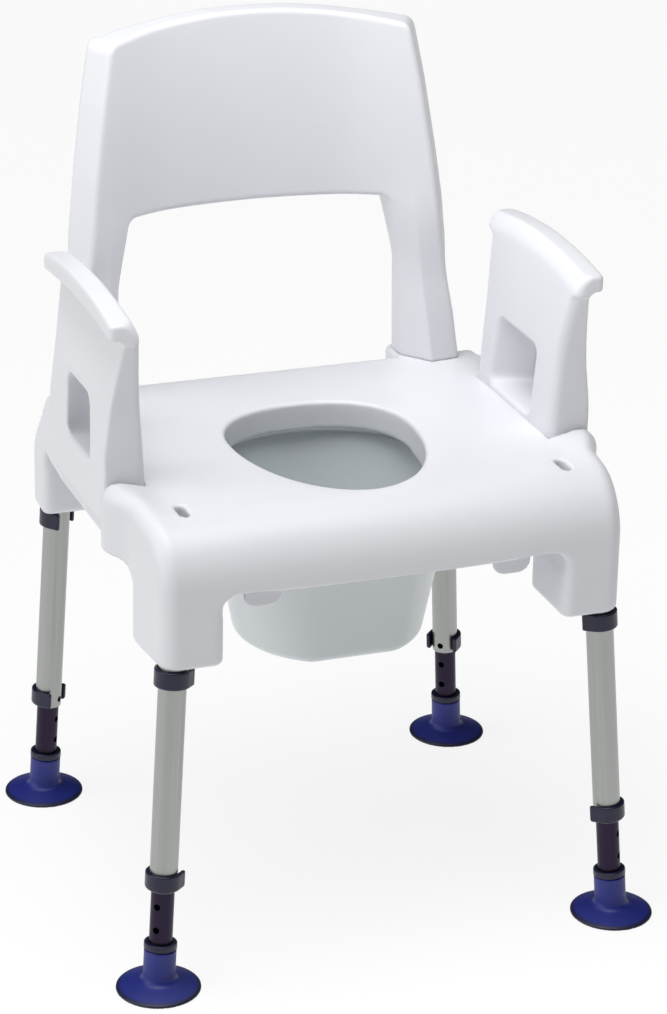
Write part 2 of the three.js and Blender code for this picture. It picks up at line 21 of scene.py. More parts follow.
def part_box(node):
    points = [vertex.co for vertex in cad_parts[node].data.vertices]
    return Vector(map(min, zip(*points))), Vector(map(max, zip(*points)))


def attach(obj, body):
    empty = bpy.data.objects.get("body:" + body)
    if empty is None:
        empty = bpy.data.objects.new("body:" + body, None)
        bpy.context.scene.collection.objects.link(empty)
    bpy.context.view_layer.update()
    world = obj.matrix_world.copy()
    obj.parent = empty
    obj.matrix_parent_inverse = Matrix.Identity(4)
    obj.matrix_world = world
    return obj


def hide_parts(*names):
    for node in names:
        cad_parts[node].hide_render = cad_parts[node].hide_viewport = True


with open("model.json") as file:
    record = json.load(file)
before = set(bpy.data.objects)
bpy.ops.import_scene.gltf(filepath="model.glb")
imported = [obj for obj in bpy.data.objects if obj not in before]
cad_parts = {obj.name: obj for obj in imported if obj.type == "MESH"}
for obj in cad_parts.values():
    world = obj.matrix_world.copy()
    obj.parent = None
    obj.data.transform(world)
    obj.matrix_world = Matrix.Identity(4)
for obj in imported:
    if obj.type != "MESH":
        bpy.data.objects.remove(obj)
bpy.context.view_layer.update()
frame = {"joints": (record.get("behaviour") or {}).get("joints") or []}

LOG = logging.getLogger("chair")
MM = 0.001
FIT = 0.3  # gap between pieces that touch or slide

Array = np.ndarray
Solid = Callable[[Array, Array, Array], Array]


# ---- rounded solids by signed distance ---------------------------------------------------------


def common(a: Array, b: Array, radius: float | Array = 0.0) -> Array:
    """What two solids share, with a round edge where they meet.

    Args:
        a: Signed distances of the first solid, negative inside.
        b: Signed distances of the second solid.
        radius: Radius of the outer edge between them, which may vary from place to place.

    Returns:
        Signed distances of the shared solid.
    """
    if np.isscalar(radius) and radius <= 0:
        return np.maximum(a, b)
    corner = np.hypot(np.maximum(a + radius, 0), np.maximum(b + radius, 0))
    return np.minimum(np.maximum(a, b), -radius) + corner


def joined(a: Array, b: Array, radius: float = 0.0) -> Array:
    """Both solids together, with a fillet of the given radius in the inner corner."""
    return -common(-a, -b, radius)


def without(a: Array, b: Array, radius: float = 0.0) -> Array:
    """The first solid with the second cut out of it, the edge of the cut rounded."""
    return common(a, -b, radius)


def ramp(value: Array, start: float, end: float) -> Array:
    """A smooth step from 0 at start to 1 at end."""
    t = np.clip((value - start) / (end - start), 0.0, 1.0)
    return t * t * (3 - 2 * t)


def block(x: Array, y: Array, z: Array, low: Iterable[float], high: Iterable[float],
          radius: float = 0.0) -> Array:
    """A box with round edges.

    Args:
        x: Where to measure, along X.
        y: Where to measure, along Y.
        z: Where to measure, along Z.
        low: Its lowest corner.
        high: Its highest corner.
        radius: Radius of its edges.

    Returns:
        Signed distances of the box.
    """
    spans = [np.maximum(a - v, v - b) for v, a, b in zip((x, y, z), low, high)]
    return common(common(spans[0], spans[1], radius), spans[2], radius)


def oval(x: Array, y: Array, half_x: float, half_y: Array, power: float) -> Array:
    """Distance to an oval about the origin whose sides grow squarer with the power."""
    u, v = np.abs(x) / half_x + 1e-6, np.abs(y) / half_y + 1e-6
    level = (u ** power + v ** power) ** (1 / power)
    slope = np.hypot(
        (u / level) ** (power - 1) / half_x, (v / level) ** (power - 1) / half_y)
    return (level - 1) / slope


# ---- meshes ------------------------------------------------------------------------------------


@dataclass
class Surface:
    """A mesh being made: its points, in millimetres, and its faces."""

    points: Array
    faces: Array

    def mirrored(self) -> "Surface":
        """The same surface on the other side of the chair, still facing out."""
        return Surface(self.points * np.array([-1.0, 1.0, 1.0]), self.faces[:, ::-1].copy())


@dataclass
class Grid:
    """Meshes a solid on cubic cells with one point in each cell that its surface crosses."""

    low: tuple[float, float, float]
    high: tuple[float, float, float]
    cell: float
    relax_rounds: int = 2
    settle_rounds: int = 3
    margin: float = 1.882  # an odd share of a cell, so that no flat face falls on grid points

    def surface(self, solid: Solid) -> Surface:
        """The solid's surface.

        Args:
            solid: Function of three coordinate arrays that gives signed distances.

        Returns:
            A closed surface of four-sided faces that point outwards.
        """
        low = np.array(self.low, float) - self.margin * self.cell
        counts = np.ceil((np.array(self.high) + 1.5 * self.cell - low) / self.cell).astype(int) + 1
        axes = [low[k] + self.cell * np.arange(counts[k]) for k in range(3)]
        value = solid(*np.meshgrid(*axes, indexing="ij"))
        cells = counts - 1
        sums, quads = np.zeros((4, cells.prod())), []
        for axis in range(3):
            sums, made = self._cross(value, axis, cells, sums)
            quads.append(made)
        used = sums[3] > 0
        index = np.cumsum(used) - 1
        points = low + self.cell * (sums[:3, used] / sums[3, used]).T
        faces = index[np.concatenate(quads)]
        return Surface(self._settled(solid, points, faces), faces)

    @staticmethod
    def _cross(value: Array, axis: int, cells: Array, sums: Array) -> tuple[Array, Array]:
        """Adds the crossings of the grid lines along one axis to the cells round them.

        Args:
            value: Signed distances at the grid points.
            axis: The axis of the grid lines.
            cells: How many cells there are each way.
            sums: Summed X, Y, Z and count of crossings, for each cell.

        Returns:
            The new sums, and the four cells round each crossing as a face.
        """
        first = np.take(value, range(0, value.shape[axis] - 1), axis)
        second = np.take(value, range(1, value.shape[axis]), axis)
        at = np.argwhere((first < 0) != (second < 0))
        a, b = first[tuple(at.T)], second[tuple(at.T)]
        place = at.astype(float)
        place[:, axis] += a / (a - b)
        across, up = (axis + 1) % 3, (axis + 2) % 3
        corners = []
        for step in ((1, 1), (0, 1), (0, 0), (1, 0)):
            cell = at.copy()
            cell[:, across] -= step[0]
            cell[:, up] -= step[1]
            flat = np.ravel_multi_index(tuple(cell.T), tuple(cells))
            corners.append(flat)
            for k in range(3):
                sums[k] += np.bincount(flat, place[:, k], sums.shape[1])
            sums[3] += np.bincount(flat, minlength=sums.shape[1])
        faces = np.stack(corners, axis=1)
        faces[a > 0] = faces[a > 0][:, ::-1]
        return sums, faces

    def _settled(self, solid: Solid, points: Array, faces: Array) -> Array:
        """Evens the points out and draws them onto the surface.

        Args:
            solid: The solid's signed distances.
            points: The surface's first points.
            faces: Its faces.

        Returns:
            The moved points.
        """
        ends = np.concatenate([faces[:, [k, (k + 1) % 4]] for k in range(4)])
        count = np.bincount(ends[:, 0], minlength=len(points))[:, None]
        step = 0.05 * self.cell
        for turn in range(self.relax_rounds + self.settle_rounds):
            if turn < self.relax_rounds:
                around = [np.bincount(ends[:, 0], points[ends[:, 1], k], len(points)) for k in range(3)]
                points = 0.5 * points + 0.5 * np.stack(around, axis=1) / count
            far = solid(*points.T)
            slope = np.empty_like(points)
            for k in range(3):
                ahead, behind = points.copy(), points.copy()
                ahead[:, k] += step
                behind[:, k] -= step
                slope[:, k] = (solid(*ahead.T) - solid(*behind.T)) / (2 * step)
            steep = np.maximum((slope ** 2).sum(axis=1), 0.25)
            move = np.clip(far / steep, -0.35 * self.cell, 0.35 * self.cell)
            points = points - move[:, None] * slope
        return points


def turned(profile: list[tuple[float, float]], sides: int = 72) -> Surface:
    """A closed profile of (radius, height) points turned about the Z axis.

    Args:
        profile: The outline, going round so that the outside is on its right.
        sides: How many faces go round.

    Returns:
        The turned surface.
    """
    angle = 2 * math.pi * np.arange(sides) / sides
    ring = np.array(profile, float)
    points = np.stack([
        np.outer(np.cos(angle), ring[:, 0]), np.outer(np.sin(angle), ring[:, 0]),
        np.outer(np.ones(sides), ring[:, 1])], axis=-1).reshape(-1, 3)
    n = len(ring)
    turn, k = np.meshgrid(np.arange(sides), np.arange(n), indexing="ij")
    after, nxt = (turn + 1) % sides, (k + 1) % n
    faces = np.stack([turn * n + k, after * n + k, after * n + nxt, turn * n + nxt], axis=-1)
    return Surface(points, faces.reshape(-1, 4))


@dataclass(frozen=True)
class Datum:
    """Where the chair stands in the frame: the point midway between its feet."""

    shift: Vector

    @classmethod
    def from_frame(cls) -> "Datum":
        """Reads it from the boxes of the front and rear feet."""
        feet = [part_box(f"foot_{end}_{side}") for end in ("front", "rear") for side in ("left", "right")]
        middle = sum((low + high for low, high in feet), Vector()) / (2 * len(feet))
        return cls(Vector((middle.x, middle.y, 0.0)))

    def matrix(self) -> Matrix:
        """Takes metres about that point to the frame."""
        return Matrix.Translation(self.shift)


def place(name: str, surface: Surface, matrix: Matrix, sharp_above: float = 180.0) -> bpy.types.Object:
    """Makes an object of a surface.

    Args:
        name: The piece's name.
        surface: Its mesh, in millimetres.
        matrix: Takes the mesh, in metres, to the frame.
        sharp_above: Edges that turn more than this many degrees stay sharp.

    Returns:
        The new object.
    """
    mesh = bpy.data.meshes.new(name)
    mesh.from_pydata((surface.points * MM).tolist(), [], surface.faces.tolist())
    mesh.shade_smooth()
    if sharp_above < 180:
        mesh.set_sharp_from_angle(angle=math.radians(sharp_above))
    mesh.validate()
    made = bpy.data.objects.new(name, mesh)
    bpy.context.scene.collection.objects.link(made)
    made.matrix_world = matrix
    return made


def hand_over(piece: bpy.types.Object, body: str, node: str,
              material: bpy.types.Material) -> None:
    """Dresses a piece and ties it to the frame.

    Args:
        piece: The piece.
        body: The CAD body it rides on.
        node: The CAD node it stands for.
        material: Its finish.
    """
    piece.data.materials.append(material)
    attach(piece, body)
    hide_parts(node)
    LOG.info("%s: %d faces on %s", piece.name, len(piece.data.polygons), body)


# ---- finishes ----------------------------------------------------------------------------------


def linear(colour: str) -> tuple[float, float, float, float]:
    """An sRGB colour such as "#E4E5EA" as linear red, green, blue and alpha."""
    parts = [int(colour[k:k + 2], 16) / 255 for k in (1, 3, 5)]
    return (*[p / 12.92 if p <= 0.04045 else ((p + 0.055) / 1.055) ** 2.4 for p in parts], 1.0)


def add(tree: bpy.types.NodeTree, kind: str, settings: dict | None = None,
        inputs: dict | None = None) -> bpy.types.Node:
    """Adds a node to a material.

    Args:
        tree: The material's node tree.
        kind: The node's type.
        settings: Its own settings, by name.
        inputs: Its inputs by name or number: a value, or the socket to link to it.

    Returns:
        The new node.
    """
    node = tree.nodes.new(kind)
    for name, value in (settings or {}).items():
        setattr(node, name, value)
    for name, value in (inputs or {}).items():
        if isinstance(value, bpy.types.NodeSocket):
            tree.links.new(value, node.inputs[name])
        else:
            node.inputs[name].default_value = value
    return node


def new_material(name: str) -> tuple[bpy.types.Material, bpy.types.NodeTree, bpy.types.Node]:
    """An empty material with its tree and output node."""
    material = bpy.data.materials.new(name)
    material.use_nodes = True
    tree = material.node_tree
    tree.nodes.clear()
    return material, tree, add(tree, "ShaderNodeOutputMaterial")


@dataclass(frozen=True)
class MouldedPlastic:
    """Injection-moulded thermoplastic with the fine grain of a spark-eroded mould."""

    name: str
    colour: str
    shade: str  # what the colour drifts to where the melt cooled differently
    roughness: float
    rough_spread: float
    grain_mm: float  # the real grain is about 0.1 mm, drawn coarser so that it shows at all
    grain_depth_mm: float
    drift_mm: float = 90.0
    ior: float = 1.49

    def build(self) -> bpy.types.Material:
        """The material."""
        material, tree, out = new_material(self.name)
        where = add(tree, "ShaderNodeTexCoord").outputs["Object"]
        drift = add(tree, "ShaderNodeTexNoise", None, {
            "Vector": where, "Scale": 1 / (self.drift_mm * MM), "Detail": 3.0, "Roughness": 0.55})
        tint = add(tree, "ShaderNodeMix", {"data_type": "RGBA"}, {
            "Factor": drift.outputs["Fac"], "A": linear(self.colour), "B": linear(self.shade)})
        grain = add(tree, "ShaderNodeTexNoise", None, {
            "Vector": where, "Scale": 1 / (self.grain_mm * MM), "Detail": 2.0, "Roughness": 0.6})
        rough = add(tree, "ShaderNodeMapRange", None, {
            "Value": grain.outputs["Fac"], "To Min": self.roughness - self.rough_spread,
            "To Max": self.roughness + self.rough_spread})
        relief = add(tree, "ShaderNodeBump", None, {
            "Height": grain.outputs["Fac"], "Strength": 1.0, "Distance": self.grain_depth_mm * MM})
        shader = add(tree, "ShaderNodeBsdfPrincipled", None, {
            "Base Color": tint.outputs["Result"], "Roughness": rough.outputs["Result"],
            "IOR": self.ior, "Normal": relief.outputs["Normal"]})
        tree.links.new(shader.outputs["BSDF"], out.inputs["Surface"])
        return material


@dataclass(frozen=True)
class AnodisedTube:
    """Drawn aluminium tube, anodised: long faint draw lines in a satin metal."""

    name: str
    colour: str
    line_colour: str
    roughness: float
    rough_spread: float
    line_mm: float = 0.9  # real draw lines are about 0.1 mm apart, drawn coarser so that they show
    line_length_mm: float = 160.0
    depth_mm: float = 0.008
    metallic: float = 1.0

    def build(self) -> bpy.types.Material:
        """The material."""
        material, tree, out = new_material(self.name)
        where = add(tree, "ShaderNodeTexCoord").outputs["Object"]
        across, along = 1 / (self.line_mm * MM), 1 / (self.line_length_mm * MM)
        drawn = add(tree, "ShaderNodeMapping", None, {"Vector": where, "Scale": (across, across, along)})
        lines = add(tree, "ShaderNodeTexNoise", None, {
            "Vector": drawn.outputs["Vector"], "Scale": 1.0, "Detail": 3.0, "Roughness": 0.6})
        tint = add(tree, "ShaderNodeMix", {"data_type": "RGBA"}, {
            "Factor": lines.outputs["Fac"], "A": linear(self.colour), "B": linear(self.line_colour)})
        rough = add(tree, "ShaderNodeMapRange", None, {
            "Value": lines.outputs["Fac"], "To Min": self.roughness - self.rough_spread,
            "To Max": self.roughness + self.rough_spread})
        relief = add(tree, "ShaderNodeBump", None, {
            "Height": lines.outputs["Fac"], "Strength": 1.0, "Distance": self.depth_mm * MM})
        shader = add(tree, "ShaderNodeBsdfPrincipled", None, {
            "Base Color": tint.outputs["Result"], "Roughness": rough.outputs["Result"],
            "Metallic": self.metallic, "Normal": relief.outputs["Normal"]})
        tree.links.new(shader.outputs["BSDF"], out.inputs["Surface"])
        return material


@dataclass(frozen=True)
class MouldedRubber:
    """Compression-moulded rubber that reads darker towards its thin rim: partly the thin rubber's own tone,
    partly painted shade.
    """

    name: str
    colour: str
    # Colour towards the rim: partly the thin rubber's own darker tone, partly painted shade.
    rim_shade_colour: str
    rim_from_mm: float
    rim_to_mm: float
    roughness: float = 0.36
    haze_mm: float = 14.0
    grain_mm: float = 1.4  # a rubbed mould surface, drawn coarser than its real 0.3 mm
    grain_depth_mm: float = 0.02
    ior: float = 1.52

    def build(self) -> bpy.types.Material:
        """The material."""
        material, tree, out = new_material(self.name)
        where = add(tree, "ShaderNodeTexCoord").outputs["Object"]
        flat = add(tree, "ShaderNodeVectorMath", {"operation": "MULTIPLY"}, {
            0: where, 1: (1.0, 1.0, 0.0)})
        radius = add(tree, "ShaderNodeVectorMath", {"operation": "LENGTH"}, {0: flat.outputs["Vector"]})
        # Darkening towards the rim, between the two radii: partly the thin rubber's own tone, partly
        # painted shade.
        rim = add(tree, "ShaderNodeMapRange", {"interpolation_type": "SMOOTHSTEP"}, {
            "Value": radius.outputs["Value"], "From Min": self.rim_from_mm * MM,
            "From Max": self.rim_to_mm * MM})
        tint = add(tree, "ShaderNodeMix", {"data_type": "RGBA"}, {
            "Factor": rim.outputs["Result"], "A": linear(self.colour), "B": linear(self.rim_shade_colour)})
        haze = add(tree, "ShaderNodeTexNoise", None, {
            "Vector": where, "Scale": 1 / (self.haze_mm * MM), "Detail": 3.0})
        rough = add(tree, "ShaderNodeMapRange", None, {
            "Value": haze.outputs["Fac"], "To Min": self.roughness - 0.08, "To Max": self.roughness + 0.12})
        grain = add(tree, "ShaderNodeTexNoise", None, {
            "Vector": where, "Scale": 1 / (self.grain_mm * MM), "Detail": 2.0})
        relief = add(tree, "ShaderNodeBump", None, {
            "Height": grain.outputs["Fac"], "Strength": 1.0, "Distance": self.grain_depth_mm * MM})
        shader = add(tree, "ShaderNodeBsdfPrincipled", None, {
            "Base Color": tint.outputs["Result"], "Roughness": rough.outputs["Result"],
            "IOR": self.ior, "Normal": relief.outputs["Normal"]})
        tree.links.new(shader.outputs["BSDF"], out.inputs["Surface"])
        return material


class Finish(Enum):
    """The finishes of the chair."""

    # White polypropylene with a fine satin grain: soft broad highlights, no mirror image.
    WHITE = MouldedPlastic("moulded_white_polypropylene", "#E3E4E8", "#DDDFE4", 0.42, 0.05, 1.1, 0.012)
    # Natural polypropylene, greyer and smoother, as it is moulded in a polished tool.
    PAN = MouldedPlastic("moulded_grey_polypropylene", "#D3D8DA", "#CCD2D4", 0.32, 0.04, 1.8, 0.006)
    # Clear-anodised drawn tube: grey satin metal with lengthwise lines.
    TUBE = AnodisedTube("clear_anodised_aluminium", "#AEB0AD", "#9B9D9A", 0.36, 0.06)
    # Black-violet anodising over the same drawn tube: a dull metal sheen under a dark dye.
    DARK_TUBE = AnodisedTube("dark_anodised_aluminium", "#3A3244", "#2A2434", 0.42, 0.05)
    # Dyed nylon with a satin mould grain: near black with a blue cast.
    CLIP = MouldedPlastic("moulded_dark_nylon", "#14143A", "#0E0E28", 0.34, 0.05, 0.9, 0.012)
    # Blue rubber, slightly hazy on top, darker towards its thin rim: partly the rubber's own tone, partly
    # painted shade.
    RUBBER = MouldedRubber("moulded_blue_rubber", "#14227C", "#0B0F34", 37.0, 41.5, 0.46)


FINISHES: dict[Finish, bpy.types.Material] = {}


def finish(kind: Finish) -> bpy.types.Material:
    """The material of a finish, made the first time it is asked for."""
    if kind not in FINISHES:
        FINISHES[kind] = kind.value.build()
    return FINISHES[kind]


# ---- legs --------------------------------------------------------------------------------------


@dataclass(frozen=True)
class LegAxis:
    """One leg's place: its foot on the floor, up the tube, and outwards across it."""

    name: str
    foot: Vector
    up: Vector
    out: Vector

    @classmethod
    def from_frame(cls, name: str) -> "LegAxis":
        """Reads a leg from the frame.

        Args:
            name: The leg's name, such as front_left.

        Returns:
            Its place, in the frame's metres.
        """
        low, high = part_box(f"foot_{name}")
        foot = Vector(((low.x + high.x) / 2, (low.y + high.y) / 2, 0.0))
        joint = next(j for j in frame["joints"] if j["name"] == f"leg_{name}_extend")
        up = -Vector(joint["axis"]).normalized()
        side, end = (1 if name.endswith("right") else -1), (1 if name.startswith("rear") else -1)
        diagonal = Vector((side, end, 0.0)).normalized()
        out = (diagonal - diagonal.dot(up) * up).normalized()
        return cls(name, foot, up, out)

    def matrix(self) -> Matrix:
        """Takes the leg's own metres, with +Z up the tube and +X outwards, to the frame."""
        side = self.up.cross(self.out)
        turn = Matrix((self.out, side, self.up)).transposed().to_4x4()
        return Matrix.Translation(self.foot) @ turn

    def level(self) -> Array:
        """Rotation of the leg's own axes in the frame, as a 3 by 3 array."""
        return np.array(self.matrix().to_3x3())


@dataclass
class Legs:
    """Telescopic legs: tubes, inner legs with height holes, clips, collars and suction feet."""

    tube_radius: float = 14.0
    tube_wall: float = 1.8
    tube_from: float = 107.0
    tube_to_height: float = 400.0
    inner_radius: float = 11.7
    inner_wall: float = 1.6
    inner_from: float = 10.3
    inner_length: float = 276.0
    peg_at: float = 116.0
    hole_radius: float = 3.5
    hole_pitch: float = 25.0
    holes_below: int = 2
    holes_above: int = 4
    edge: float = 0.5
    clip_wall: float = 4.1
    clip_height: float = 18.0
    clip_reach: float = 12.0
    clip_below_pod: float = 2.5
    pod_height: float = 341.0
    ring_from: float = 43.5
    ring_height: float = 7.4
    ring_radius: float = 16.7
    neck_radius: float = 16.25
    cup_radius: float = 42.55
    cup_rim: float = 2.4
    dome_height: float = 13.0
    cup_hollow: float = 6.0
    lip_width: float = 5.5
    names: tuple[str, ...] = ("front_left", "front_right", "rear_left", "rear_right")

    def build(self) -> None:
        """Makes all four legs."""
        for name in self.names:
            axis = LegAxis.from_frame(name)
            self._tubes(axis)
            self._clips(axis)
            self._foot(axis)

    def _pipe(self, radius: float, wall: float, low: float, high: float) -> Surface:
        """A tube with broken edges at both ends."""
        e, inner = self.edge, radius - wall
        return turned([
            (radius, low + e), (radius, high - e), (radius - e, high), (inner + e, high),
            (inner, high - e), (inner, low + e), (inner + e, low), (radius - e, low)])

    def _tubes(self, axis: LegAxis) -> None:
        """The outer tube and the inner leg with its row of holes."""
        matrix = axis.matrix()
        top = self.tube_to_height / axis.up.z
        tube = place(f"tube_{axis.name}", self._pipe(self.tube_radius, self.tube_wall, self.tube_from, top),
                     matrix, 35)
        self._drill(tube, [self.peg_at], matrix)
        hand_over(tube, "frame", f"leg_tube_{axis.name}", finish(Finish.TUBE))
        pipe = self._pipe(
            self.inner_radius, self.inner_wall, self.inner_from, self.inner_from + self.inner_length)
        inner = place(f"inner_{axis.name}", pipe, matrix, 35)
        steps = range(-self.holes_below, self.holes_above + 1)
        self._drill(inner, [self.peg_at + k * self.hole_pitch for k in steps], matrix)
        hand_over(inner, f"inner_leg_{axis.name}", f"leg_extension_{axis.name}",
                  finish(Finish.DARK_TUBE))

    def _drill(self, tube: bpy.types.Object, heights: list[float], matrix: Matrix) -> None:
        """Drills holes right through a tube, from its outer side to its inner side.

        Args:
            tube: The tube's object.
            heights: Where the holes are, up the leg.
            matrix: The tube's place.
        """
        cutter = bmesh.new()
        for height in heights:
            turn = Matrix.Translation((0, 0, height * MM)) @ Matrix.Rotation(math.pi / 2, 4, "Y")
            bmesh.ops.create_cone(
                cutter, cap_ends=True, segments=28, radius1=self.hole_radius * MM,
                radius2=self.hole_radius * MM, depth=4 * self.tube_radius * MM, matrix=turn)
        mesh = bpy.data.meshes.new("drill")
        cutter.to_mesh(mesh)
        cutter.free()
        drill = bpy.data.objects.new("drill", mesh)
        bpy.context.scene.collection.objects.link(drill)
        drill.matrix_world = matrix
        step = tube.modifiers.new("holes", "BOOLEAN")
        step.operation, step.object, step.solver = "DIFFERENCE", drill, "EXACT"
        bpy.context.view_layer.update()
        cut = bpy.data.meshes.new_from_object(tube.evaluated_get(bpy.context.evaluated_depsgraph_get()))
        tube.modifiers.clear()
        tube.data = cut
        bpy.data.objects.remove(drill)

    def _clip_solid(self, low: float, taper: float, peg: bool) -> Solid:
        """One snap clip: closed on the outer side, with two straight arms round the tube.

        Args:
            low: Its lower edge, up the leg.
            taper: How much its lower edge is rounded in.
            peg: Whether it carries the locking peg.

        Returns:
            Its signed distances.
        """
        inner = self.tube_radius + FIT
        outer = inner + self.clip_wall
        high = low + self.clip_height

        def solid(x: Array, y: Array, z: Array) -> Array:
            far = np.where(x > 0, np.hypot(x, y), np.abs(y))
            ring = common(far - outer, -self.clip_reach - x, 2.0)
            walls = common(common(ring, low - z, taper), z - high, 1.3)
            clip = without(walls, far - inner, 0.7)
            if not peg:
                return clip
            pin = common(np.hypot(y, z - self.peg_at) - 3.1, self.tube_radius - 1.4 - x, 0.8)
            return joined(clip, common(pin, x - inner - 2, 0), 0.8)

        return solid

    def _clips(self, axis: LegAxis) -> None:
        """The clip that locks the inner leg and the clip that keeps the tube in its socket."""
        upper = self.pod_height / axis.up.z - self.clip_below_pod - self.clip_height
        half = self.tube_radius + FIT + self.clip_wall
        for kind, low, taper in (("lower", self.tube_from + 1.5, 3.4), ("upper", upper, 1.3)):
            grid = Grid((-self.clip_reach, -half, low), (half, half, low + self.clip_height), 1.0)
            surface = grid.surface(self._clip_solid(low, taper, kind == "lower"))
            clip = place(f"{kind}_snap_{axis.name}", surface, axis.matrix())
            hand_over(clip, f"{kind}_clip_{axis.name}", f"{kind}_clip_{axis.name}",
                      finish(Finish.CLIP))

    def _foot_solid(self, axis: LegAxis) -> Solid:
        """One suction foot: a cup level on the floor with a neck that leans along the leg.

        Args:
            axis: The leg's place.

        Returns:
            Its signed distances, with +Z straight up from the foot's own point on the floor.
        """
        turn, neck_top = axis.level(), self.ring_from - FIT

        def solid(x: Array, y: Array, z: Array) -> Array:
            side, fore, up = (turn[0, k] * x + turn[1, k] * y + turn[2, k] * z for k in range(3))
            across = np.hypot(side, fore)
            r = np.hypot(x, y)
            rise = np.clip((self.cup_radius - r) / (self.cup_radius - self.neck_radius), 0, 1)
            crown = self.cup_rim + (self.dome_height - self.cup_rim - 3) * rise ** 0.85
            cup = common(common(z - crown, r - self.cup_radius, 1.1), -z, 0.8)
            neck = common(across - self.neck_radius, np.maximum(up - neck_top, 5 - up), 0.9)
            whole = joined(cup, neck, 5.0)
            hollow_radius = self.cup_radius - self.lip_width
            under = z - self.cup_hollow * (1 - (r / hollow_radius) ** 2)
            whole = without(whole, under, 0.5)
            bore = common(across - self.inner_radius - FIT, self.inner_from - FIT - up)
            return without(whole, bore, 0.5)

        return solid

    def _foot(self, axis: LegAxis) -> None:
        """The suction foot and the collar on its neck."""
        body = f"inner_leg_{axis.name}"
        half = self.cup_radius + 1
        grid = Grid((-half, -half, 0), (half, half, self.ring_from + 2), 1.2)
        foot = place(f"suction_foot_{axis.name}", grid.surface(self._foot_solid(axis)),
                     Matrix.Translation(axis.foot))
        hand_over(foot, body, f"foot_{axis.name}", finish(Finish.RUBBER))
        low, high, e = self.ring_from, self.ring_from + self.ring_height, 1.0
        outer, inner = self.ring_radius, self.inner_radius + FIT
        collar = turned([
            (outer, low + e), (outer, high - 2 * e), (outer - 0.3 * e, high - 0.7 * e),
            (outer - e, high - 0.2 * e), (outer - 2 * e, high), (inner + e / 2, high),
            (inner, high - e / 2), (inner, low + e / 2), (inner + e / 2, low), (outer - e, low)])
        hand_over(place(f"collar_{axis.name}", collar, axis.matrix(), 40), body,
                  f"foot_ring_{axis.name}", finish(Finish.CLIP))


# ---- seat --------------------------------------------------------------------------------------


@dataclass
class Pod:
    """A corner of the seat that takes a leg: where its leg passes and how far its walls reach."""

    end: int
    at: tuple[float, float]
    lean: tuple[float, float]
    inner: float
    along: float


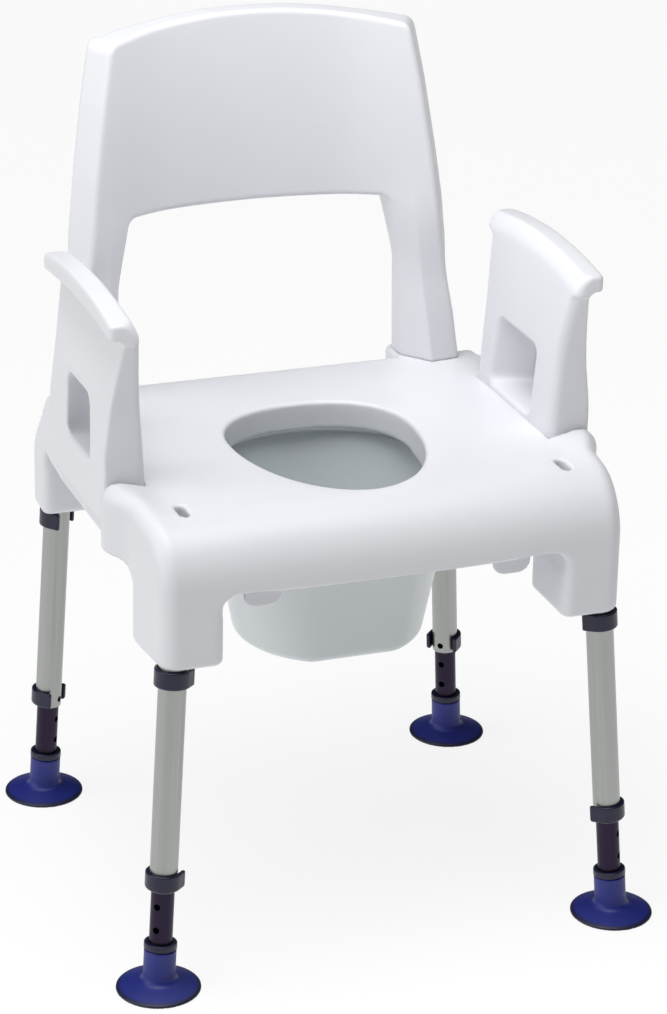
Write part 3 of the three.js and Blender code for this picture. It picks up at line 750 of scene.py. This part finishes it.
@dataclass
class Seat:
    """Moulded seat: a shell open below, with corner pods, an opening with a skirt, and drains."""

    top: float = 480.0
    wall: float = 5.6
    pod_bottom: float = 341.0
    front_y: float = -220.0
    front_half: float = 239.5
    arm_half: float = 250.0
    back_y: float = 196.0
    rake_run: float = 40.0
    apron_drop: float = 69.0
    apron_arch: float = 9.0
    waterfall: float = 60.0
    side_round: float = 16.0
    shoulder: float = 8.0
    dish: float = 3.5
    arm_inner: float = 213.7
    arm_front: float = -84.3
    arm_back: float = 112.3
    ledge: float = 3.0
    opening_half: float = 98.0
    opening_back: float = 93.0
    opening_front: float = -150.0
    opening_mid: float = 6.0
    skirt_drop: float = 36.0
    drain: tuple[float, float] = (200.0, -152.0)
    drain_half_length: float = 9.0
    drain_radius: float = 5.0
    exit_half: float = 156.0
    exit_top: float = 448.0
    cell: float = 3.0
    pods: tuple[Pod, ...] = (
        Pod(-1, (224.4, -201.0), (-22.0, 21.5), 47.0, 71.0),
        Pod(1, (221.9, 217.4), (-18.1, -5.1), 42.0, 25.0))

    def opening(self, x: Array, y: Array) -> Array:
        """Signed distance to the egg-shaped opening, narrower to the front."""
        back = self.opening_back - self.opening_mid
        front = self.opening_mid - self.opening_front
        dy = y - self.opening_mid
        rear = oval(x, dy, self.opening_half, back, 2.3)
        fore = oval(x, dy, self.opening_half, front, 1.92)
        return np.where(dy > 0, rear, fore)

    def top_at(self, x: Array, y: Array) -> Array:
        """Height of the seat's upper surface: dished round the opening, raised at the shoulders."""
        ax = np.abs(x)
        middle = 1 - ramp(np.hypot(ax / 215, (y + 15) / 195), 0.3, 1.0)
        edge = ramp(ax, 205, 250) * ramp(y, -205, -112) * (1 - ramp(y, 60, 108))
        return self.top - self.dish * middle + self.shoulder * edge

    def block(self, x: Array, y: Array, z: Array) -> Array:
        """The seat's outer form without an underside."""
        ax = np.abs(x)
        half = self.front_half + 6.5 * ramp(y, -235, -130) + 16 * ramp(y, -136, -90)
        form = common(z - self.top_at(x, y), self.front_y - y, self.waterfall)
        form = common(form, ax - half, self.side_round)
        rise = math.hypot(self.rake_run, self.apron_drop)
        rake = ((y - self.back_y) * self.apron_drop + (z - self.top) * self.rake_run) / rise
        form = common(form, np.maximum(rake, y - self.back_y - self.rake_run), 11.0)
        draft = 8 * ramp(y, 120, 200) * np.clip((z - 400) / 80, 0, 1) ** 1.5
        side = self.arm_half - 2 * ramp(y, 100, 130) - 6 * ramp(y, 130, 236) - draft
        form = without(form, np.maximum(side - ax, self.arm_front - y), 1.0)
        ledge = np.maximum(np.maximum(self.arm_inner - ax, self.arm_front - y), y - self.arm_back)
        return without(form, np.maximum(ledge, self.top - self.ledge - z), 0.8)

    def pod_plan(self, pod: Pod, x: Array, y: Array) -> Array:
        """The two inner walls of a pod; its other two are the seat's own side and end."""
        near = pod.end * (pod.at[1] - y) - pod.along
        inner = pod.at[0] - pod.inner - np.abs(x)
        return common(inner, near, 12.0)

    def lug(self, x: Array, y: Array, z: Array) -> Array:
        """The rear corner that a post of the backrest stands on, without its underside."""
        return block(np.abs(x), y, z, (155, 135, 300), (224, 234, self.top), 7.0)

    def along_leg(self, pod: Pod, x: Array, y: Array, z: Array) -> Array:
        """Distance to the axis of the leg in a pod."""
        up = np.array([*pod.lean, self.pod_bottom])
        up = up / np.linalg.norm(up)
        offset = [np.abs(x) - pod.at[0], y - pod.at[1], z - self.pod_bottom]
        reach = sum(o * u for o, u in zip(offset, up))
        return np.sqrt(np.maximum(sum(o * o for o in offset) - reach * reach, 0))

    def solid(self, x: Array, y: Array, z: Array) -> Array:
        """Signed distances of the whole seat."""
        bottom = self.top - self.apron_drop + self.apron_arch * (np.abs(x) / 250) ** 2
        form = self.block(x, y, z)
        upper = np.minimum(form, self.lug(x, y, z))
        columns = np.minimum(*(common(form, self.pod_plan(pod, x, y), 11.0) for pod in self.pods))
        skin = common(upper, bottom - z, 2.0)
        whole = joined(skin, common(columns, self.pod_bottom - z, 6.0), 18.0)
        whole = np.maximum(whole, upper)
        hollow = np.maximum(upper + self.wall, bottom - z)
        below = np.maximum(np.maximum(upper + self.wall, bottom - 25 - z), -columns)
        cavity = np.maximum(columns + self.wall, self.pod_bottom + self.wall - z)
        shell = without(whole, np.minimum(np.minimum(hollow, below), cavity), 1.5)
        return self._features(shell, whole, form, x, y, z)

    def _features(self, shell: Array, whole: Array, form: Array, x: Array, y: Array, z: Array) -> Array:
        """Adds the sockets and the skirt, and cuts the opening, drains, bores and plug holes."""
        ax = np.abs(x)
        for pod in self.pods:
            axis = self.along_leg(pod, x, y, z)
            socket = np.maximum(axis - 18.3, np.maximum(343 - z, z - 405))
            shell = joined(shell, np.maximum(socket, whole + 1), 1.0)
        plug = block(ax, y, z, (171, 187, 436), (209, 211, 477))
        shell = np.minimum(shell, plug)
        egg = self.opening(x, y)
        skirt_low = self.top - self.skirt_drop
        skirt = np.maximum(egg - self.wall, np.maximum(skirt_low - z, z - self.top + 6))
        shell = joined(shell, skirt, 3.0)
        shell = without(shell, egg, 4.5)
        dx, dy = self.drain
        slot = np.hypot(ax - dx, np.maximum(np.abs(y - dy) - self.drain_half_length, 0))
        boss = np.maximum(slot - self.drain_radius - 4.5, np.maximum(self.top - 20 - z, z - self.top + 3))
        shell = without(joined(shell, boss, 2.0), slot - self.drain_radius, 3.0)
        exit_box = block(ax, y, z, (-9, 0, 300), (self.exit_half, 300, self.exit_top), 8.0)
        shell = without(shell, exit_box, 1.5)
        for pod in self.pods:
            bore = np.maximum(self.along_leg(pod, x, y, z) - 14.3, np.maximum(z - 400.5, form + 4.8))
            shell = without(shell, bore, 0.8)
        holes = block(ax, y, z, (173.7, 189.7, 439.7), (206.3, 208.3, 520), 1.0)
        for middle in (-50.0, 78.0):
            hole = block(ax, y, z, (225.7, middle - 12.3, 460), (238.3, middle + 12.3, 520), 1.0)
            holes = np.minimum(holes, hole)
        return without(shell, holes, 0.6)

    def build(self, datum: Datum) -> None:
        """Makes the seat."""
        grid = Grid((-264, self.front_y - 2, self.pod_bottom), (264, 237, self.top + 9), self.cell)
        seat = place("seat", grid.surface(self.solid), datum.matrix())
        hand_over(seat, "frame", "seat_shell", finish(Finish.WHITE))


# ---- armrests ----------------------------------------------------------------------------------


@dataclass
class Armrest:
    """Lift-off armrest: a panel that fans out to the seat, with a window, a pad and a hook."""

    outer_base: float = 264.0
    outer_draw: float = 21.0
    outer_bow: float = 7.0
    inner_base: float = 214.0
    inner_draw: float = 13.0
    seat_line: float = 477.3
    hook_x: float = 250.3
    hook_low: float = 440.0
    front_y: float = -83.0
    front_reach: float = 22.5
    rear_y: float = 112.0
    pad_top: float = 657.0
    pad_drop: float = 17.0
    pad_outer: float = 257.5
    pad_front: float = -106.0
    pad_rear: float = 131.0
    pad_roll: float = 15.0
    crown: float = 11.0
    window_low: float = 485.0
    window_high: float = 561.0
    window_front: float = -32.0
    window_rear: float = 70.0
    edge: float = 2.6
    soft_edge: float = 11.0
    cell: float = 1.9

    def panel(self, x: Array, y: Array, z: Array) -> Array:
        """The upright panel: sharp along its outer front edge, soft along the inner one."""
        outer = self.outer_base - self.outer_draw * np.clip((z - 455) / 180, 0, 1.1) ** 1.1
        belly = np.clip(1 - ((y - 15) / 95) ** 2, 0, 1) * ramp(z, 470, 520) * (1 - ramp(z, 565, 625))
        outer = outer + self.outer_bow * belly
        inner = self.inner_face(z)
        front = self.front_y - self.front_reach * np.clip((z - 548) / 92, 0, 1) ** 1.5
        rear = self.rear_y + 4 * ramp(z, 560, 640)
        ends = common(np.maximum(front - y, y - rear), self.hook_low - z, 18.0)
        return common(common(ends, inner - x, self.soft_edge), x - outer, self.edge)

    def inner_face(self, z: Array) -> Array:
        """How far out the inner face lies at a height."""
        return self.inner_base + self.inner_draw * np.clip((z - 485) / 167, 0, 1.2) ** 1.25

    def pad(self, x: Array, y: Array, z: Array) -> Array:
        """The pad's form without its underside, rolled over on the sitter's side."""
        crown = self.crown_at(y) - 0.004 * (x - 244) ** 2
        plan = common(np.maximum(self.pad_front - y, y - self.pad_rear),
                      self.inner_face(z) - x, self.soft_edge)
        plan = common(plan, x - self.pad_outer, 6.0)
        roll = 3.5 + self.pad_roll * (1 - ramp(x, 226, 246))
        return common(z - self.pad_top - crown, plan, roll)

    def crown_at(self, y: Array) -> Array:
        """How much the pad's middle rises above its ends."""
        middle, half = (self.pad_front + self.pad_rear) / 2, (self.pad_rear - self.pad_front) / 2
        return self.crown * (1 - ((y - middle) / half) ** 2)

    def window(self, x: Array, y: Array, z: Array) -> Array:
        """The window, splayed so that its rear side closes in towards the outer face."""
        out = np.clip(x - self.inner_base, 0, 50)
        slope = (self.window_high - z) / (self.window_high - self.window_low)
        rear = self.window_rear + 8 * slope - 0.62 * out
        sides = np.maximum(self.window_front + 2 * slope - y, y - rear)
        return common(sides, np.maximum(self.window_low + 0.16 * out - z, z - self.window_high), 12.0)

    def solid(self, x: Array, y: Array, z: Array) -> Array:
        """Signed distances of the right armrest."""
        form = self.pad(x, y, z)
        under = self.pad_top - self.pad_drop + 0.6 * self.crown_at(y) - z
        arm = joined(np.maximum(self.panel(x, y, z), -under - 2), common(form, under, 3.0), 8.0)
        arm = np.maximum(arm, form)
        arm = without(arm, self.window(x, y, z), 4.0)
        arm = without(arm, np.maximum(x - self.hook_x, z - self.seat_line), 0.8)
        for middle in (-50.0, 78.0):
            plug = block(x, y, z, (226, middle - 12, 450), (238, middle + 12, 484), 1.2)
            arm = np.minimum(arm, plug)
        return arm

    def build(self, datum: Datum) -> None:
        """Makes the right armrest and its mirror image."""
        grid = Grid((212, -110, self.hook_low), (266, 134, self.pad_top + self.crown + 2), self.cell)
        right = grid.surface(self.solid)
        for side, surface in (("right", right), ("left", right.mirrored())):
            arm = place(f"arm_{side}", surface, datum.matrix())
            hand_over(arm, f"armrest_{side}", f"armrest_{side}", finish(Finish.WHITE))


# ---- backrest ----------------------------------------------------------------------------------


@dataclass
class Backrest:
    """Lift-off backrest: a curved, leaning panel on two posts with a ridge at their foot."""

    base: float = 480.3
    mid_y: float = 235.0
    lean: float = 0.0602
    radius: float = 480.0
    thick: float = 28.0
    side_thick: float = 13.0
    side_splay: float = 0.40
    edge: float = 5.0
    corner: float = 9.0
    post_inner: float = 158.0
    opening_top: float = 658.0
    opening_half: float = 143.0
    ridge_x: float = 183.0
    ridge_draw: float = 16.0
    ridge: float = 20.0
    cell: float = 2.4
    half_widths: tuple[tuple[float, float], ...] = (
        (480, 217), (530, 211), (629, 194), (707, 184.5), (783, 173.5), (838, 163.5))
    top_heights: tuple[tuple[float, float], ...] = (
        (0, 860.8), (36, 860.0), (78, 856.5), (125, 850.5), (190, 839.5))

    def solid(self, x: Array, y: Array, z: Array) -> Array:
        """Signed distances of the backrest."""
        ax = np.abs(x)
        flat = np.sqrt(self.radius ** 2 - np.minimum(ax, 300) ** 2)
        middle = self.mid_y + self.lean * (z - 480) - (self.radius - flat)
        steep = flat / self.radius
        ridge_x = self.ridge_x - self.ridge_draw * np.clip((z - self.base) / 175, 0, 1)
        wedge = np.clip(1 - np.abs(ax - ridge_x) / np.where(ax > ridge_x, 36.0, 25.0), 0, 1)
        bulge = self.ridge * wedge * (1 - ramp(z, 470, 715))
        before = self.side_thick * ramp(ax, 90, 190) * ramp(z, 560, 660)
        front = middle - (self.thick / 2 + before) / steep
        faces = np.maximum((y - middle) * steep - self.thick / 2, (front - y) * steep - bulge)
        halves, tops = np.array(self.half_widths), np.array(self.top_heights)
        splay = self.side_splay * np.clip(y - front, 0, 60) * ramp(z, 480, 620)
        side = ax - splay - np.interp(z, halves[:, 0], halves[:, 1])
        crest = z - np.interp(ax - splay, tops[:, 0], tops[:, 1])
        contour = common(side, crest, self.corner)
        inner = self.post_inner - 15 * np.clip((z - 585) / 73, 0, 1) ** 1.15
        contour = without(contour, common(ax - inner, z - self.opening_top, 8.0), 0)
        shape = common(contour, faces, self.edge)
        shape = np.maximum(shape, self.base - z)
        plug = block(ax, y, z, (174, 190, 440), (206, 208, 500), 1.5)
        return np.minimum(shape, plug)

    def build(self, datum: Datum) -> None:
        """Makes the backrest."""
        grid = Grid((-219, 160, 440), (219, 290, 862), self.cell)
        back = place("back", grid.surface(self.solid), datum.matrix())
        hand_over(back, "backrest", "backrest", finish(Finish.WHITE))


# ---- pan and rails -----------------------------------------------------------------------------


@dataclass
class Pan:
    """Commode pan with a flattened front and a flange, and the two rails that it slides on."""

    mid_y: float = -20.0
    base: float = 272.5
    base_radius: float = 97.5
    flare: float = 0.196
    base_round: float = 9.0
    flat_depth: float = 11.5
    wall: float = 4.4
    rim_top: float = 440.0
    rim_thick: float = 4.0
    rim_half: float = 146.0
    rim_reach: float = 144.0
    cell: float = 2.1
    rail_wall: float = 4.0
    rail_width: float = 40.0
    rail_ledge: float = 20.0
    rail_top: float = 469.0
    rail_low: float = 387.0
    rail_front: float = -194.0
    rail_back: float = 150.0

    def solid(self, x: Array, y: Array, z: Array) -> Array:
        """Signed distances of the pan."""
        dy = y - self.mid_y
        r = np.hypot(x, dy)
        radius = self.base_radius + self.flare * (z - self.base)
        lean = math.cos(math.atan(self.flare))
        cone = common((r - radius) * lean, (-dy - radius + self.flat_depth) * lean, 7.0)
        bowl = common(cone, self.base - z, self.base_round)
        body = np.maximum(bowl, z - self.rim_top)
        plan = common(np.abs(x) - self.rim_half, np.abs(dy) - self.rim_reach, 34.0)
        tab = common(np.abs(x) - 36, np.abs(dy - self.rim_reach) - 22, 12.0)
        plan = joined(plan, tab, 10.0)
        flange = common(plan, np.abs(z - self.rim_top + self.rim_thick / 2) - self.rim_thick / 2, 1.2)
        whole = joined(body, flange, 3.0)
        return without(whole, bowl + self.wall, 1.4)

    def rail(self, x: Array, y: Array, z: Array) -> Array:
        """Signed distances of the right rail: a web, a ledge under the pan's rim and a front stop."""
        outer = self.rim_half + FIT + self.rail_wall
        ledge_top = self.rim_top - self.rim_thick - FIT
        front, back, top, wall = self.rail_front, self.rail_back, self.rail_top, self.rail_wall
        web = block(x, y, z, (outer - wall, front, ledge_top - 20), (outer, back, top), 1.2)
        ledge = block(x, y, z, (outer - self.rail_ledge, front, ledge_top - wall),
                      (outer, back, ledge_top), 1.2)
        tab = common(np.maximum(outer - self.rail_width - x, x - outer), self.rail_low - z, 13.0)
        stop = common(tab, np.maximum(z - top, np.maximum(front - y, y - front - wall)), 1.2)
        return np.minimum(joined(web, ledge, 2.0), stop)

    def build(self, datum: Datum) -> None:
        """Makes the pan and both rails."""
        rear = self.mid_y + self.rim_reach + 24
        grid = Grid((-self.rim_half, self.mid_y - self.rim_reach, self.base),
                    (self.rim_half, rear, self.rim_top), self.cell)
        pan = place("commode_pan", grid.surface(self.solid), datum.matrix())
        hand_over(pan, "pan", "pan", finish(Finish.PAN))
        outer = self.rim_half + FIT + self.rail_wall
        grid = Grid((outer - self.rail_width, self.rail_front, self.rail_low),
                    (outer, self.rail_back, self.rail_top), 1.9)
        right = grid.surface(self.rail)
        for side, surface in (("right", right), ("left", right.mirrored())):
            rail = place(f"rail_{side}", surface, datum.matrix())
            hand_over(rail, "frame", f"pan_rail_{side}", finish(Finish.WHITE))


# ---- floor, light and camera -------------------------------------------------------------------


@dataclass
class Studio:
    """A plain pale floor, a soft key light from the upper left, and the camera."""

    floor_half: float = 14.0
    floor_colour: str = "#767676"
    floor_glow: float = 0.83
    sky_colour: str = "#F4F5F7"
    sky_strength: float = 0.08
    sun_spread: float = 50.0
    suns: tuple[tuple[str, float, tuple[float, float, float]], ...] = (
        ("overhead", 1.35, (-0.25, -0.10, 1.0)), ("from_the_left", 1.0, (-1.0, 0.05, 0.35)))
    softbox_power: float = 8.0
    softbox_size: float = 0.8
    softbox_at: tuple[float, float, float] = (-0.10, -0.22, 1.55)
    softbox_towards: tuple[float, float, float] = (0.0, 0.1, 0.55)
    azimuth: float = -20.52
    elevation: float = 22.57
    roll: float = 1.156
    distance: float = 3.5225
    target: tuple[float, float, float] = (0.0124, 0.0, 0.3965)
    lens: float = 121.3
    sensor: float = 36.0

    def build(self, datum: Datum) -> None:
        """Sets up the whole studio."""
        self._floor()
        self._lights()
        self._camera(datum)
        bpy.context.scene.view_settings.view_transform = "Standard"

    def _floor(self) -> None:
        """A wide sheet with a softly glowing pale surface, so that shadows on it stay faint."""
        mesh = bpy.data.meshes.new("floor")
        h = self.floor_half
        mesh.from_pydata([(-h, -h, 0), (h, -h, 0), (h, h, 0), (-h, h, 0)], [], [(0, 1, 2, 3)])
        floor = bpy.data.objects.new("floor", mesh)
        bpy.context.scene.collection.objects.link(floor)
        material, tree, out = new_material("pale_studio_floor")
        shader = add(tree, "ShaderNodeBsdfPrincipled", None, {
            "Base Color": linear(self.floor_colour), "Roughness": 0.9,
            "Emission Color": (1.0, 1.0, 1.0, 1.0), "Emission Strength": self.floor_glow})
        tree.links.new(shader.outputs["BSDF"], out.inputs["Surface"])
        mesh.materials.append(material)

    def _lights(self) -> None:
        """A pale sky, two broad suns and a softbox over the seat."""
        world = bpy.data.worlds.new("pale_sky")
        world.use_nodes = True
        sky = world.node_tree.nodes["Background"]
        sky.inputs["Color"].default_value = linear(self.sky_colour)
        sky.inputs["Strength"].default_value = self.sky_strength
        bpy.context.scene.world = world
        for name, strength, towards in self.suns:
            light = bpy.data.lights.new(name, "SUN")
            light.energy, light.angle = strength, math.radians(self.sun_spread)
            sun = bpy.data.objects.new(name, light)
            sun.rotation_mode = "QUATERNION"
            sun.rotation_quaternion = Vector(towards).to_track_quat("Z", "Y")
            bpy.context.scene.collection.objects.link(sun)
        light = bpy.data.lights.new("softbox", "AREA")
        light.energy, light.size = self.softbox_power, self.softbox_size
        softbox = bpy.data.objects.new("softbox", light)
        softbox.rotation_mode = "QUATERNION"
        softbox.location = Vector(self.softbox_at)
        away = Vector(self.softbox_at) - Vector(self.softbox_towards)
        softbox.rotation_quaternion = away.to_track_quat("Z", "Y")
        bpy.context.scene.collection.objects.link(softbox)

    def _camera(self, datum: Datum) -> None:
        """The camera: a long lens, from the front right of the sitter, a little above."""
        a, e, roll = (math.radians(v) for v in (self.azimuth, self.elevation, self.roll))
        back = Vector((math.sin(a) * math.cos(e), -math.cos(a) * math.cos(e), math.sin(e)))
        target = Vector(self.target) + datum.shift
        data = bpy.data.cameras.new("camera")
        data.lens, data.sensor_width = self.lens, self.sensor
        data.clip_end = 100.0
        camera = bpy.data.objects.new("camera", data)
        right = Vector((math.cos(a), math.sin(a), 0.0))
        up = back.cross(right)
        right, up = (math.cos(roll) * right + math.sin(roll) * up,
                     math.cos(roll) * up - math.sin(roll) * right)
        turn = Matrix((right, up, back)).transposed().to_4x4()
        camera.matrix_world = Matrix.Translation(target + back * self.distance) @ turn
        bpy.context.scene.collection.objects.link(camera)
        bpy.context.scene.camera = camera


def corners(box: tuple[Vector, Vector]) -> list[list[float]]:
    """A box as plain lists of numbers."""
    return [list(corner) for corner in box]


def main() -> None:
    """Builds the chair in order."""
    logging.basicConfig(level=logging.INFO, format="%(name)s: %(message)s")
    datum = Datum.from_frame()
    Studio().build(datum)
    Seat().build(datum)
    Armrest().build(datum)
    Backrest().build(datum)
    Pan().build(datum)
    Legs().build()


if __name__ == "__main__":
    main()
